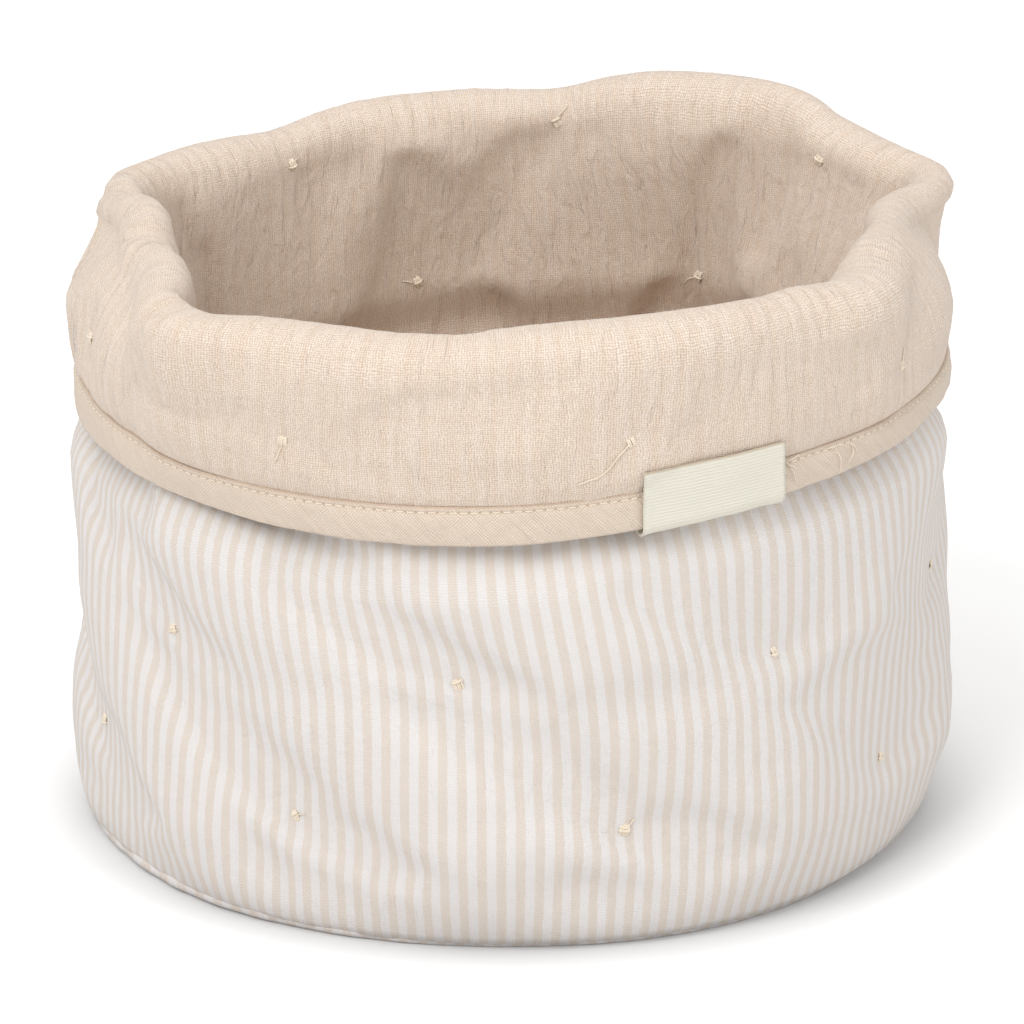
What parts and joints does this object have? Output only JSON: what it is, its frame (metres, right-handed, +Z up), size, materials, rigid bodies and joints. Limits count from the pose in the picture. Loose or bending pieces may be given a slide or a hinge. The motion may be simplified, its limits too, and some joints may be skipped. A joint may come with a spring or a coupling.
{
  "type": "storage basket",
  "caption": "Soft round storage basket: padded striped fabric side and base, tacked through, with its lined rim turned down as a cuff.",
  "frame": {"origin": "middle of the underside, on the surface that the basket stands on", "axes": "+Z up, -Y towards the front with the woven tag to the right of it, +X to the right seen from the front"},
  "size_m": [0.2381, 0.2378, 0.1775],
  "materials": {
    "striped_cotton": "plain-weave cotton with sand and white stripes, matte",
    "sand_muslin": "crinkled double muslin, sand, matte",
    "wadding": "polyester wadding, white",
    "bias_tape": "bias-cut cotton tape, sand, matte",
    "woven_tape": "ribbed woven tape, cream",
    "sand_thread": "cotton thread, sand"
  },
  "bodies": {
    "root": {"side_outer_panel": "striped_cotton", "side_wadding": "wadding", "side_lining": "sand_muslin", "base_outer_panel": "striped_cotton", "base_wadding": "wadding", "base_lining": "sand_muslin", "rim_binding": "bias_tape", "woven_label": "woven_tape", "tack_01": "sand_thread", "tack_02": "sand_thread", "tack_03": "sand_thread", "tack_04": "sand_thread", "tack_05": "sand_thread", "tack_06": "sand_thread", "tack_07": "sand_thread", "tack_08": "sand_thread", "tack_09": "sand_thread", "tack_10": "sand_thread", "tack_11": "sand_thread", "tack_12": "sand_thread", "tack_13": "sand_thread", "tack_14": "sand_thread", "tack_15": "sand_thread", "tack_16": "sand_thread", "tack_17": "sand_thread", "tack_18": "sand_thread", "tack_19": "sand_thread", "tack_20": "sand_thread", "tack_21": "sand_thread", "tack_22": "sand_thread", "tack_23": "sand_thread", "tack_24": "sand_thread", "tack_25": "sand_thread", "tack_26": "sand_thread", "tack_27": "sand_thread", "tack_28": "sand_thread", "tack_29": "sand_thread", "tack_30": "sand_thread", "tack_31": "sand_thread", "tack_32": "sand_thread", "tack_33": "sand_thread", "tack_34": "sand_thread", "tack_35": "sand_thread", "tack_36": "sand_thread", "tack_37": "sand_thread", "tack_38": "sand_thread", "tack_39": "sand_thread", "tack_40": "sand_thread"}
  },
  "joints": []
}
